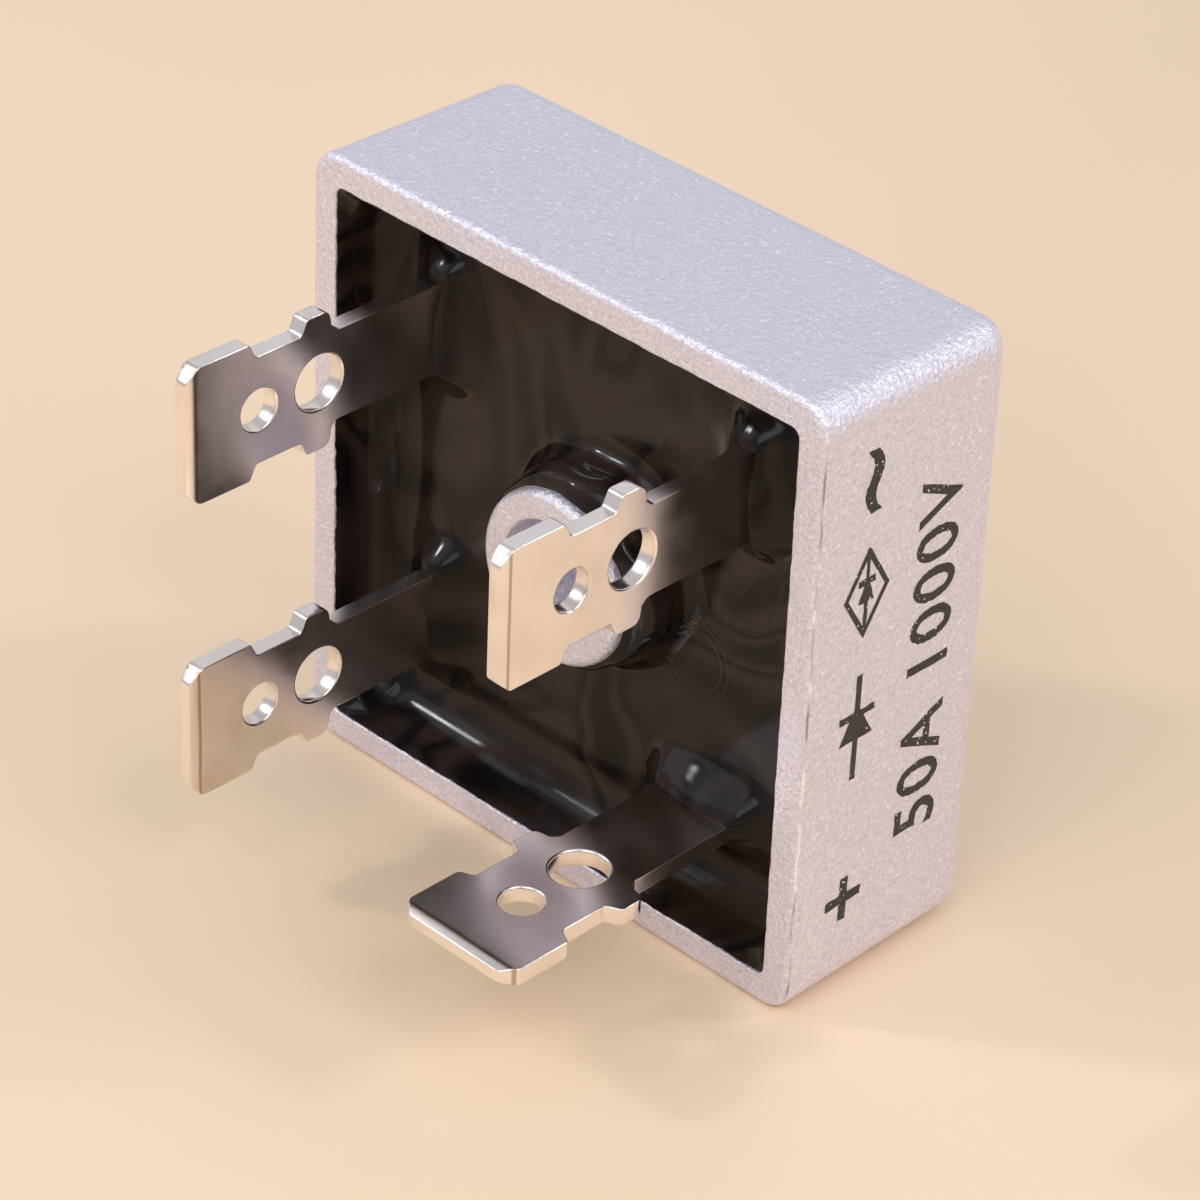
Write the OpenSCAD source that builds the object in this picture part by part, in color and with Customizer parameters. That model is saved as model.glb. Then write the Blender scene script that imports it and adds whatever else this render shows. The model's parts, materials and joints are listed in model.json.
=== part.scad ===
// Single-phase bridge rectifier: a square die-cast case, open at the back and filled with potting
// resin, with four blade terminals that stand out of the resin.
// +Z is up. The heat-sink face looks along +Y and the terminals point along -Y.
// The origin is the point where the axis of the screw hole meets the heat-sink face.
// Depths are counted from the heat-sink face towards the terminals.

/* [Case] */
// Width and height of the case at its open rim
case_w = 28.6; // [28:0.1:34]
// Depth of the case, from the heat-sink face to the rim
case_depth = 11; // [10.5:0.1:14]
// Thickness of the side walls
wall_t = 1.4; // [1:0.1:1.7]
// Thickness of the heat-sink base
base_t = 2.5; // [1.5:0.1:2.8]
// Amount by which each wall leans out from the heat-sink face to the rim
rim_flare = 0.13; // [0:0.01:0.25]
// Radius of the corners between the side walls
corner_r = 1.4; // [1.3:0.1:2.5]
// Radius of the edges round the heat-sink face
base_edge_r = 1.2; // [0.4:0.1:1.2]
// Chamfer on the outer edge of the rim
rim_chamfer = 0.15; // [0.05:0.05:0.4]
// Radius of the inner corners between the walls
cavity_corner_r = 0.4; // [0.2:0.1:0.8]

/* [Screw boss] */
// Diameter of the screw hole
screw_hole_d = 5.3; // [4.4:0.1:5.8]
// Diameter of the boss at its free end
boss_d = 7.8; // [7.2:0.1:8.4]
// Amount by which the boss's radius grows from its free end to the base
boss_flare = 0.3; // [0:0.05:0.4]
// Radius of the edge at the boss's free end
boss_edge_r = 0.4; // [0.1:0.05:0.6]

/* [Blade terminals] */
// Width of the blades and of their shoulder lugs
blade_w = 6.3; // [6:0.1:6.6]
// Thickness of the terminal strip
blade_t = 0.8; // [0.5:0.05:1]
// Depth of the blade tips behind the heat-sink face
tip_depth = 22.9; // [21:0.1:26]
// Corner cut at the two corners of a blade tip
tip_corner = 0.62; // [0.3:0.02:1]
// Length of the lead-in bevel on the faces at a blade tip
lead_in_l = 0.45; // [0.1:0.05:0.6]
// Depth of the lead-in bevel
lead_in_t = 0.14; // [0.05:0.01:0.2]
// Length of the blade head, tip to notch
head_l = 3.3; // [2.8:0.1:3.6]
// Width of the neck between the notches
neck_w = 4.95; // [4.4:0.05:5.2]
// Length of the neck, with its slanted shoulder
neck_l = 2.7; // [2.2:0.1:3.2]
// Slant of the shoulder at each end of the neck, measured along the blade
shoulder_l = 0.32; // [0.16:0.02:0.5]
// Length of the shoulder lugs along the blade
lug_l = 1.3; // [1:0.1:2]
// Corner radius of the lugs, on the side of the stem
lug_r = 0.45; // [0.2:0.05:0.6]
// Corner radius of the punched outline elsewhere
punch_r = 0.2; // [0.05:0.05:0.25]
// Width of the stem below the lugs
stem_w = 4.2; // [3.4:0.1:4.5]
// Diameter of the detent hole in the head
detent_hole_d = 1.85; // [1.4:0.05:2.2]
// Distance of the detent hole from the tip
detent_hole_s = 3.78; // [3:0.02:4]
// Diameter of the wire hole at the lugs
wire_hole_d = 2.5; // [1.8:0.1:2.8]
// Distance of the wire hole from the tip
wire_hole_s = 7; // [6.4:0.1:7.4]

/* [Terminal places] */
// Distance of the three sideways terminals from the outside of the case
side_inset = 5.45; // [5:0.05:5.7]
// Distance of the two upper terminals below the top of the case
upper_inset = 6.8; // [6.4:0.1:7.1]
// Distance of the lower sideways terminal above the bottom of the case
lower_inset = 7.65; // [7.2:0.05:7.9]
// Distance of the turned plus terminal from the right-hand side of the case
plus_side_inset = 7.2; // [6.8:0.1:7.5]
// Distance of the turned plus terminal above the bottom of the case
plus_lower_inset = 5.7; // [5.4:0.1:5.9]

/* [Potting resin] */
// Drop from the rim to the resin surface
resin_drop = 3; // [2.4:0.1:3.4]
// Radius of the meniscus where the resin climbs the walls
meniscus_r = 2.2; // [1:0.1:2.3]
// Thickness of the resin film on the walls and the boss
film_t = 0.12; // [0.05:0.01:0.3]
// Gap between the rim and the upper edge of the wall film
film_gap = 0.08; // [0.02:0.01:0.3]
// Radius of the meniscus at the foot of the boss
boss_meniscus_r = 1; // [0.4:0.1:1.4]
// Height of the resin collar that climbs each terminal
collar_h = 1.1; // [0.5:0.1:1.5]
// Spread of that collar over the resin surface
collar_spread = 1; // [0.6:0.1:1.1]

/* [Circuit] */
// Thickness of the insulating wafer
wafer_t = 0.6; // [0.3:0.05:0.8]
// Gap between the wafer and the cavity wall, and round the boss
wafer_gap = 0.45; // [0.2:0.05:0.5]
// Thickness of the plus and minus plates
plate_t = 0.8; // [0.5:0.05:1]
// Gap between a plate's outer edge and the cavity wall
plate_wall_gap = 1.1; // [0.8:0.1:1.3]
// Width of a diode die
die_w = 4.2; // [3.4:0.1:4.4]
// Thickness of a diode die
die_t = 0.36; // [0.25:0.01:0.5]
// Width of the glass-filled ledge round a die
die_ledge = 0.25; // [0.1:0.05:0.4]
// Thickness of each solder layer
solder_t = 0.1; // [0.05:0.01:0.15]
// Thickness of the two AC straps
strap_t = 0.6; // [0.4:0.05:0.8]
// Amount by which a strap is narrower than the die under it, on each side
strap_inset = 0.3; // [0.3:0.05:0.5]
// Border of copper round a die or a terminal foot
copper_border = 0.3; // [0.2:0.05:0.4]
// Inside radius of the bend above a terminal's foot
bend_r = 0.6; // [0.4:0.05:0.8]
// Length of a terminal's foot beyond the bend
foot_l = 2.6; // [2:0.1:2.8]

/* [Hidden] */

sliver = 0.01;        // thickness of the slabs that a hull joins
cut_over = 1;         // how far a cutting solid runs past what it cuts
ring_step = 15;       // angle between the slabs of a rounded edge
round_fn = 32;        // segments of corners inside a hull
copper_fn = 16;       // segments of the copper's corners
punch_step = 33;      // largest angle between the points of a punched corner
bore_fn = 72;         // segments of the screw hole and the boss
collar_steps = 5;     // rings up a resin collar, less one
collar_corner_step = 30; // angle between the points of a collar's corners
root = 0.05;          // how far a collar reaches below the resin surface
collar_power = 2.5;   // how quickly a collar narrows as it climbs
copper_r = 0.5;       // corner radius of the copper plates and straps

// Depths of the stack, from the heat-sink face towards the terminals
plate_top = base_t + wafer_t + plate_t;
die_bottom = plate_top + solder_t;
die_top = die_bottom + die_t;
strap_bottom = die_top + solder_t;
strap_top = strap_bottom + strap_t;
dc_foot_depth = plate_top + solder_t;
ac_foot_depth = strap_top + solder_t;
resin_depth = case_depth - resin_drop;

// Half width of the case and of its cavity at a given depth
function outer_half(depth) = case_w / 2 - rim_flare * (1 - depth / case_depth);
function inner_half(depth) = outer_half(depth) - wall_t;

// Places of the terminals from the hole axis
side_x = case_w / 2 - side_inset;
upper_z = case_w / 2 - upper_inset;
lower_z = case_w / 2 - lower_inset;
plus_x = case_w / 2 - plus_side_inset;
plus_z = case_w / 2 - plus_lower_inset;

boss_r = boss_d / 2;
boss_root_r = boss_r + boss_flare;
boss_start = base_t / 2;
plate_edge = inner_half(base_t) - plate_wall_gap;
die_row = plate_edge - copper_border - die_w / 2;
plate_inner = die_row - die_w / 2 - copper_border;
strap_half = die_w / 2 - strap_inset;
foot_start = blade_t / 2 + bend_r;
foot_end = foot_start + foot_l;

// Centres of the four dies: two on the plus plate (1, 2) and two on the minus plate (3, 4)
die_places = [[0, -die_row], [die_row, 0], [-die_row, 0], [0, die_row]];

// ---- shared shapes ----

// Square with rounded corners, seen from the front
module rounded_square(half, r) {
    square([2 * half, 2 * (half - r)], center = true);
    square([2 * (half - r), 2 * half], center = true);
    for (x = [-1, 1], y = [-1, 1])
        translate([x * (half - r), y * (half - r)]) circle(r = r, $fn = round_fn);
}

// Rectangle with rounded corners between two opposite corner points
module bar(low, high, r = copper_r) {
    translate([low[0] + r, low[1]]) square([high[0] - low[0] - 2 * r, high[1] - low[1]]);
    translate([low[0], low[1] + r]) square([high[0] - low[0], high[1] - low[1] - 2 * r]);
    for (x = [low[0] + r, high[0] - r], y = [low[1] + r, high[1] - r])
        translate([x, y]) circle(r = r, $fn = copper_fn);
}

// Turns a flat outline in X and Z into a layer that starts at a depth
module layer(depth, thickness) {
    translate([0, -depth, 0]) rotate([90, 0, 0]) linear_extrude(thickness) children();
}

// Thin square slab for a hull
module slab(depth, half, r) {
    layer(depth, sliver) rounded_square(half, r);
}

// Block that is closed and rounded at depth_0 and runs on to depth_1 with another corner radius
module soft_block(depth_0, half_0, edge_r, r_0, depth_1, half_1, r_1, end_chamfer = 0) {
    hull() {
        for (a = [0 : ring_step : 90])
            slab(depth_0 + edge_r * (1 - sin(a)), half_0 - edge_r * (1 - cos(a)), r_0 - edge_r * (1 - cos(a)));
        slab(depth_1 - end_chamfer - sliver, half_1, r_1);
        slab(depth_1 - sliver, half_1 - end_chamfer, r_1 - end_chamfer);
    }
}

// ---- case ----

module case_outer() {
    soft_block(0, outer_half(base_edge_r), base_edge_r, corner_r,
               case_depth, outer_half(case_depth), corner_r, rim_chamfer);
}

// Space inside the walls, from the base to the given depth
module cavity(end_depth) {
    hull() {
        slab(base_t, inner_half(base_t), cavity_corner_r);
        slab(end_depth - sliver, inner_half(end_depth - sliver), cavity_corner_r);
    }
}

// Solid boss with a rounded free end, rooted half way through the base
module boss() {
    rotate([90, 0, 0])
        rotate_extrude($fn = bore_fn) {
            polygon([[0, boss_start], [boss_root_r, boss_start], [boss_r, case_depth - boss_edge_r],
                     [boss_r - boss_edge_r, case_depth], [0, case_depth]]);
            intersection() {
                translate([boss_r - boss_edge_r, case_depth - boss_edge_r])
                    circle(r = boss_edge_r, $fn = round_fn);
                square([boss_r, case_depth]);
            }
        }
}

module screw_hole() {
    translate([0, cut_over, 0]) rotate([90, 0, 0])
        cylinder(d = screw_hole_d, h = case_depth + 2 * cut_over, $fn = bore_fn);
}

module case() {
    color("#c4c3c7")
        difference() {
            union() {
                difference() {
                    case_outer();
                    cavity(case_depth + cut_over);
                }
                boss();
            }
            screw_hole();
        }
}

// ---- circuit on the base ----

module insulator_wafer() {
    color("#efeee6")
        difference() {
            layer(base_t, wafer_t) rounded_square(inner_half(base_t) - wafer_gap, cavity_corner_r + wafer_gap);
            layer(base_t - cut_over, wafer_t + 2 * cut_over) circle(r = boss_root_r + wafer_gap, $fn = bore_fn);
        }
}

// Plus plate: it carries dies 1 and 2 and the foot of the turned terminal
module plus_plate() {
    foot_half = stem_w / 2 + copper_border;
    color("#b87a4e")
        layer(base_t + wafer_t, plate_t) {
            bar([-die_w / 2 - copper_border, -plate_edge], [plate_edge, -plate_inner]);
            bar([plate_inner, -plate_edge], [plate_edge, die_w / 2 + copper_border]);
            bar([plus_x - foot_half, -plate_edge], [plus_x + foot_half, foot_end - plus_z + copper_border]);
        }
}

// Minus plate: it carries dies 3 and 4 and the foot of the upper left terminal
module minus_plate() {
    foot_half = stem_w / 2 + copper_border;
    color("#b87a4e")
        layer(base_t + wafer_t, plate_t) {
            bar([-plate_edge, plate_inner], [die_w / 2 + copper_border, plate_edge]);
            bar([-plate_edge, -die_w / 2 - copper_border], [-plate_inner, plate_edge]);
            bar([-plate_edge, upper_z - foot_half], [foot_end - side_x + copper_border, plate_edge]);
        }
}

// Silicon die with a ledge round its upper edge
module diode_die(i) {
    color("#5b6068")
        translate([die_places[i][0], 0, die_places[i][1]]) {
            layer(die_bottom, die_t / 2) square(die_w, center = true);
            layer(die_bottom + die_t / 2, die_t / 2) square(die_w - 2 * die_ledge, center = true);
        }
}

module die_solder(i, depth) {
    color("#b9bcc2")
        translate([die_places[i][0], 0, die_places[i][1]])
            layer(depth, solder_t) square(2 * strap_half, center = true);
}

// Strap of the lower left terminal: it joins the tops of dies 1 and 3
module ac_strap_1() {
    foot_low = -lower_z - stem_w / 2 - copper_border;
    foot_outer = -side_x - blade_t / 2;
    color("#c08457")
        layer(strap_bottom, strap_t) {
            bar([foot_outer, foot_low], [foot_end - side_x + copper_border, stem_w / 2 - lower_z + copper_border]);
            bar([-die_row - strap_half, foot_low], [-die_row + strap_half, strap_half]);
            bar([foot_outer, -die_row - strap_half], [strap_half, -die_row + strap_half]);
        }
}

// Strap of the upper right terminal: it joins the tops of dies 2 and 4
module ac_strap_2() {
    foot_high = upper_z + stem_w / 2 + copper_border;
    foot_outer = side_x + blade_t / 2;
    color("#c08457")
        layer(strap_bottom, strap_t) {
            bar([side_x - foot_end - copper_border, upper_z - stem_w / 2 - copper_border], [foot_outer, foot_high]);
            bar([die_row - strap_half, -strap_half], [die_row + strap_half, foot_high]);
            bar([-strap_half, die_row - strap_half], [foot_outer, die_row + strap_half]);
        }
}

// ---- terminals ----

function unit(v) = v / norm(v);

// Arc that touches both sides of the corner at p, on the way from one neighbour to the other
function corner_arc(before, p, after, r) =
    let (a = unit(before - p), b = unit(after - p), half = acos(a * b) / 2,
         centre = p + unit(a + b) * r / sin(half),
         start = p + a * r / tan(half) - centre,
         turn = 180 - 2 * half, steps = ceil(turn / punch_step),
         side = sign(a[1] * b[0] - a[0] * b[1]))
    [for (i = [0 : steps])
        let (t = side * turn * i / steps)
        centre + [start[0] * cos(t) - start[1] * sin(t), start[0] * sin(t) + start[1] * cos(t)]];

// Closed outline from its corners, each given as [x, y, radius]
function soft_outline(corners) =
    let (n = len(corners), points = [for (c = corners) [c[0], c[1]]])
    [for (i = [0 : n - 1])
        each corners[i][2] == 0 ? [points[i]]
            : corner_arc(points[(i + n - 1) % n], points[i], points[(i + 1) % n], corners[i][2])];

lug_start = head_l + neck_l;
lug_end = lug_start + lug_l + shoulder_l;

// Corners of a blade's right-hand side, tip first, as [half width, distance from the tip, radius]
side_corners = [
    [blade_w / 2 - tip_corner, 0, punch_r],
    [blade_w / 2, tip_corner, punch_r],
    [blade_w / 2, head_l, punch_r],
    [neck_w / 2, head_l + shoulder_l, punch_r],
    [neck_w / 2, lug_start, punch_r],
    [blade_w / 2, lug_start + shoulder_l, punch_r],
    [blade_w / 2, lug_end, lug_r],
    [stem_w / 2 + shoulder_l, lug_end, punch_r],
    [stem_w / 2, lug_end + shoulder_l, punch_r]
];

// Blade and stem in the plane of X and Z, down to a height, with the tip at tip_depth
module blade(stem_end) {
    right = concat([for (c = side_corners) [c[0], tip_depth - c[1], c[2]]], [[stem_w / 2, stem_end, 0]]);
    left = [for (i = [len(right) - 1 : -1 : 0]) [-right[i][0], right[i][1], right[i][2]]];
    difference() {
        intersection() {
            translate([0, blade_t / 2, 0]) rotate([90, 0, 0]) linear_extrude(blade_t)
                polygon(soft_outline(concat(right, left)));
            translate([-blade_w, 0, 0]) rotate([90, 0, 90]) linear_extrude(2 * blade_w)
                polygon([[-blade_t / 2, stem_end], [blade_t / 2, stem_end],
                         [blade_t / 2, tip_depth - lead_in_l], [blade_t / 2 - lead_in_t, tip_depth],
                         [lead_in_t - blade_t / 2, tip_depth], [-blade_t / 2, tip_depth - lead_in_l]]);
        }
        blade_hole(detent_hole_s, detent_hole_d);
        blade_hole(wire_hole_s, wire_hole_d);
    }
}

module blade_hole(from_tip, d) {
    translate([0, blade_t, tip_depth - from_tip]) rotate([90, 0, 0])
        cylinder(d = d, h = 2 * blade_t, $fn = round_fn);
}

// Terminal standing along +Z on a foot that points along +Y
module terminal_form(foot_depth) {
    bend_depth = foot_depth + blade_t + bend_r;
    blade(bend_depth);
    translate([0, foot_start, bend_depth]) mirror([0, 1, 0]) rotate([0, 90, 0])
        rotate_extrude(angle = 90, $fn = round_fn)
            translate([bend_r, -stem_w / 2]) square([blade_t, stem_w]);
    translate([-stem_w / 2, foot_start, foot_depth]) cube([stem_w, foot_l, blade_t]);
}

// Solder under a foot
module foot_solder_form(foot_depth) {
    translate([-stem_w / 2, foot_start, foot_depth - solder_t]) cube([stem_w, foot_l, solder_t]);
}

// Stands its children at the four places: the feet all point towards the middle of the case
module at_plus() { translate([plus_x, 0, -plus_z]) rotate([90, 0, 0]) children(); }
module at_minus() { translate([-side_x, 0, upper_z]) rotate([0, 90, 0]) rotate([90, 0, 0]) children(); }
module at_ac_1() { translate([-side_x, 0, -lower_z]) rotate([0, 90, 0]) rotate([90, 0, 0]) children(); }
module at_ac_2() { translate([side_x, 0, upper_z]) rotate([0, -90, 0]) rotate([90, 0, 0]) children(); }

module terminal_plus() { color("#cdc4b8") at_plus() terminal_form(dc_foot_depth); }
module terminal_minus() { color("#cdc4b8") at_minus() terminal_form(dc_foot_depth); }
module terminal_ac_1() { color("#cdc4b8") at_ac_1() terminal_form(ac_foot_depth); }
module terminal_ac_2() { color("#cdc4b8") at_ac_2() terminal_form(ac_foot_depth); }

module foot_solder_plus() { color("#b9bcc2") at_plus() foot_solder_form(dc_foot_depth); }
module foot_solder_minus() { color("#b9bcc2") at_minus() foot_solder_form(dc_foot_depth); }
module foot_solder_ac_1() { color("#b9bcc2") at_ac_1() foot_solder_form(ac_foot_depth); }
module foot_solder_ac_2() { color("#b9bcc2") at_ac_2() foot_solder_form(ac_foot_depth); }

// ---- potting resin ----

// Hollow above the resin: it leaves the wall film and a meniscus all round
module resin_hollow() {
    soft_block(resin_depth, inner_half(resin_depth + meniscus_r) - film_t, meniscus_r, meniscus_r + sliver,
               case_depth + cut_over, inner_half(case_depth + cut_over) - film_t, cavity_corner_r);
}

// Film and meniscus round the boss, rooted a little below the resin surface
module boss_collar() {
    film_top = case_depth - boss_edge_r - film_gap;
    film_r = boss_r + film_t;
    meniscus = [for (a = [0 : ring_step : 90 - ring_step])
        [film_r + boss_meniscus_r * (1 - cos(a)), resin_depth + boss_meniscus_r * (1 - sin(a))]];
    rotate([90, 0, 0])
        rotate_extrude($fn = bore_fn)
            polygon(concat([[boss_r - boss_edge_r, resin_depth - root], [boss_r - boss_edge_r, film_top],
                            [film_r, film_top]],
                           meniscus,
                           [[film_r + boss_meniscus_r, resin_depth - root]]));
}

// Spread of a terminal's collar at a share of its height, from 0 at the surface to 1 at the top
function collar_offset(share) = film_t + collar_spread * pow(1 - share, collar_power);

// Outline of the collar at that height: the stem's section, grown with round corners
function collar_ring(share) =
    let (r = collar_offset(share), depth = resin_depth - root + share * (collar_h + root))
    [for (corner = [[1, 1, 0], [-1, 1, 90], [-1, -1, 180], [1, -1, 270]], a = [0 : collar_corner_step : 90])
        [corner[0] * stem_w / 2 + r * cos(corner[2] + a), corner[1] * blade_t / 2 + r * sin(corner[2] + a), depth]];

// Resin that climbs a terminal, in the terminal's own frame
module stem_collar() {
    rings = [for (i = [0 : collar_steps]) collar_ring(i / collar_steps)];
    n = len(rings[0]);
    polyhedron(
        points = [for (ring = rings) for (p = ring) p],
        faces = concat(
            [[for (k = [0 : n - 1]) k]],
            [for (i = [0 : collar_steps - 1], k = [0 : n - 1]) each
                [[i * n + k, (i + 1) * n + k, (i + 1) * n + (k + 1) % n],
                 [i * n + k, (i + 1) * n + (k + 1) % n, i * n + (k + 1) % n]]],
            [[for (k = [n - 1 : -1 : 0]) collar_steps * n + k]]));
}

module potting_resin() {
    color("#201c1a")
        difference() {
            union() {
                difference() {
                    cavity(case_depth - film_gap);
                    resin_hollow();
                }
                boss_collar();
                at_plus() stem_collar();
                at_minus() stem_collar();
                at_ac_1() stem_collar();
                at_ac_2() stem_collar();
            }
            boss();
            insulator_wafer();
            plus_plate();
            minus_plate();
            for (i = [0 : 3]) {
                diode_die(i);
                die_solder(i, plate_top);
                die_solder(i, die_top);
            }
            ac_strap_1();
            ac_strap_2();
            terminal_plus();
            terminal_minus();
            terminal_ac_1();
            terminal_ac_2();
            foot_solder_plus();
            foot_solder_minus();
            foot_solder_ac_1();
            foot_solder_ac_2();
        }
}

case();
insulator_wafer();
plus_plate();
minus_plate();
diode_die(0);  // diode_die_1
diode_die(1);  // diode_die_2
diode_die(2);  // diode_die_3
diode_die(3);  // diode_die_4
die_solder(0, plate_top);  // die_solder_lower_1
die_solder(1, plate_top);  // die_solder_lower_2
die_solder(2, plate_top);  // die_solder_lower_3
die_solder(3, plate_top);  // die_solder_lower_4
die_solder(0, die_top);  // die_solder_upper_1
die_solder(1, die_top);  // die_solder_upper_2
die_solder(2, die_top);  // die_solder_upper_3
die_solder(3, die_top);  // die_solder_upper_4
ac_strap_1();
ac_strap_2();
terminal_plus();
terminal_minus();
terminal_ac_1();
terminal_ac_2();
foot_solder_plus();
foot_solder_minus();
foot_solder_ac_1();
foot_solder_ac_2();
potting_resin();
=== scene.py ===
"""Dresses the bridge rectifier: die-cast case, poured resin, punched blade terminals and printed marks."""

import json
import math

import bmesh
import bpy
from mathutils import Matrix, Vector, noise


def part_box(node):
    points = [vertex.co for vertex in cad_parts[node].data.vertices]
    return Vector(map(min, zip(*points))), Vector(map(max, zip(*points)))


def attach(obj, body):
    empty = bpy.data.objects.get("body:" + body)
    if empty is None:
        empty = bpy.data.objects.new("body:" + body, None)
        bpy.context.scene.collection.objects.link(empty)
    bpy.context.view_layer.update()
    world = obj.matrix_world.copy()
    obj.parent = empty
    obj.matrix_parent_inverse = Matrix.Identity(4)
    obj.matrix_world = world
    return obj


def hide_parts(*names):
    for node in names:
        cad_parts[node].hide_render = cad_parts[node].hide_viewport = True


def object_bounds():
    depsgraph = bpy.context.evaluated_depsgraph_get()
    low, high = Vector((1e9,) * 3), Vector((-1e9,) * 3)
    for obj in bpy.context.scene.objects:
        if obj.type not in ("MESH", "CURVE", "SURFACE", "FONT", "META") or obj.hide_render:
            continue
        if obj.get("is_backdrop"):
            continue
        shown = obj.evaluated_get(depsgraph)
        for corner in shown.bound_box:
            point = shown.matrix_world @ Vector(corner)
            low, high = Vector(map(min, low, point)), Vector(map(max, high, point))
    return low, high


bl_info = {
    "name": "Bridge Rectifier",
    "version": (1, 0, 0),
    "blender": (4, 5, 0),
    "location": "View3D > Sidebar > Rectifier",
    "description": "Builds a potted bridge rectifier with blade terminals, and its stage",
    "category": "Add Mesh",
}

MM = 0.001
INK = 0.016 * MM
# Places within TOUCH of each other count as one, and places within NEAR of a line as on it.
TOUCH = 0.001 * MM
NEAR = 0.01 * MM
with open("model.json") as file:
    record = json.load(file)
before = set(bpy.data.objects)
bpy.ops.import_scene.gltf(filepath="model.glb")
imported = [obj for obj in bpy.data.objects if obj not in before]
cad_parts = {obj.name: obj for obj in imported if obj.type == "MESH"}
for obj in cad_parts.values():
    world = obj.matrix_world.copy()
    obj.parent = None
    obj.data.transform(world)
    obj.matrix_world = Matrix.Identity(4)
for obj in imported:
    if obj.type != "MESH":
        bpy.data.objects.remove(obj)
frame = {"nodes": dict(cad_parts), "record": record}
CAD_LOW, CAD_HIGH = (v.copy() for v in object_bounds())
CASE_LOW, CASE_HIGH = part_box("case")
TERMINALS = ("terminal_plus", "terminal_minus", "terminal_ac_1", "terminal_ac_2")
TERMINAL_PLACES = {node: [Vector(corner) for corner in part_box(node)] for node in TERMINALS}


# ---- properties ----


def length(name, description, default):
    """A size that a user may change."""
    return bpy.props.FloatProperty(
        name=name, description=description, default=default, unit="LENGTH", precision=5
    )


def tint(name, description, default):
    """A colour that a user may change."""
    return bpy.props.FloatVectorProperty(
        name=name, description=description, default=default, size=3, subtype="COLOR", min=0, max=1
    )


class CaseProperties(bpy.types.PropertyGroup):
    width: length("Width", "Width and height of the case at its open rim", CASE_HIGH[0] - CASE_LOW[0])
    depth: length("Depth", "Depth from the heat-sink face to the rim", CASE_HIGH[1] - CASE_LOW[1])
    wall: length("Wall", "Thickness of the side walls", 1.4 * MM)
    base: length("Base", "Thickness of the heat-sink base", 2.5 * MM)
    flare: length("Flare", "Amount by which each wall leans out towards the rim", 0.13 * MM)
    corner_radius: length("Corner radius", "Radius of the corners between the side walls", 1.4 * MM)
    base_edge_radius: length("Base edge radius", "Radius of the edges round the heat-sink face", 1.2 * MM)
    boss_radius: length("Boss radius", "Radius of the screw boss at its free end", 3.9 * MM)
    boss_flare: length("Boss flare", "Growth of the boss's radius down to the base", 0.3 * MM)
    hole_radius: length("Hole radius", "Radius of the screw hole", 2.65 * MM)
    colour: tint("Casting colour", "Colour of the die-cast aluminium", (0.84, 0.80, 0.905))


class TerminalProperties(bpy.types.PropertyGroup):
    blade_width: length("Blade width", "Width of the blade head and the lugs", 6.3 * MM)
    thickness: length("Thickness", "Thickness of the strip", 0.8 * MM)
    stem_width: length("Stem width", "Width of the stem under the lugs", 4.2 * MM)
    neck_width: length("Neck width", "Width between the two notches", 4.95 * MM)
    edge_radius: length("Edge radius", "Radius of the punched edges", 0.05 * MM)
    colour: tint("Plating colour", "Colour of the satin nickel plating", (0.93, 0.855, 0.80))


class ResinProperties(bpy.types.PropertyGroup):
    drop: length("Drop", "Drop from the rim to the resin surface", 3.0 * MM)
    wall_meniscus: length("Wall meniscus", "Radius of the climb at the walls", 2.2 * MM)
    boss_meniscus: length("Boss meniscus", "Radius of the climb at the boss", 1.0 * MM)
    film: length("Film", "Thickness of the film on the walls and the boss", 0.12 * MM)
    collar_height: length("Collar height", "Height of the climb on each terminal", 1.25 * MM)
    collar_spread: length("Collar spread", "Spread of that climb over the surface", 1.6 * MM)
    boss_roll: length("Boss roll", "Thickness of the roll of resin against the boss", 0.95 * MM)
    colour: tint("Resin colour", "Colour of the cured resin", (0.006, 0.0045, 0.0038))


class MarkProperties(bpy.types.PropertyGroup):
    rating: bpy.props.StringProperty(
        name="Rating", description="Plain rating printed along the side wall", default="50A 1000V"
    )
    height: length("Height", "Height of the printed characters", 2.5 * MM)
    ink: tint("Ink", "Colour of the printing ink", (0.022, 0.02, 0.022))


class StageProperties(bpy.types.PropertyGroup):
    floor_colour: tint("Floor colour", "Colour of the plain floor", (0.86, 0.655, 0.462))
    light: bpy.props.FloatProperty(
        name="Light", description="Level of the lamps, where 1 is plain", default=1.0, min=0
    )


# ---- shared tools ----


def clear_selection():
    if bpy.context.object is not None and bpy.context.object.mode != "OBJECT":
        bpy.ops.object.mode_set(mode="OBJECT")
    bpy.ops.object.select_all(action="DESELECT")


def name_piece(name):
    piece = bpy.context.object
    piece.name = name
    piece.data.name = name
    return piece


def activate(piece):
    clear_selection()
    piece.select_set(True)
    bpy.context.view_layer.objects.active = piece


def settle(piece):
    """Applies the object's place, turn and size to its mesh."""
    activate(piece)
    bpy.ops.object.transform_apply(location=True, rotation=True, scale=True)


def copy_piece(piece, name):
    """Copies a piece with a mesh of its own."""
    activate(piece)
    bpy.ops.object.duplicate(linked=False)
    return name_piece(name)


def add_block(name, low, high):
    clear_selection()
    centre = [(a + b) / 2 for a, b in zip(low, high)]
    bpy.ops.mesh.primitive_cube_add(size=1, location=centre, scale=[b - a for a, b in zip(low, high)])
    piece = name_piece(name)
    settle(piece)
    return piece


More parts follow.
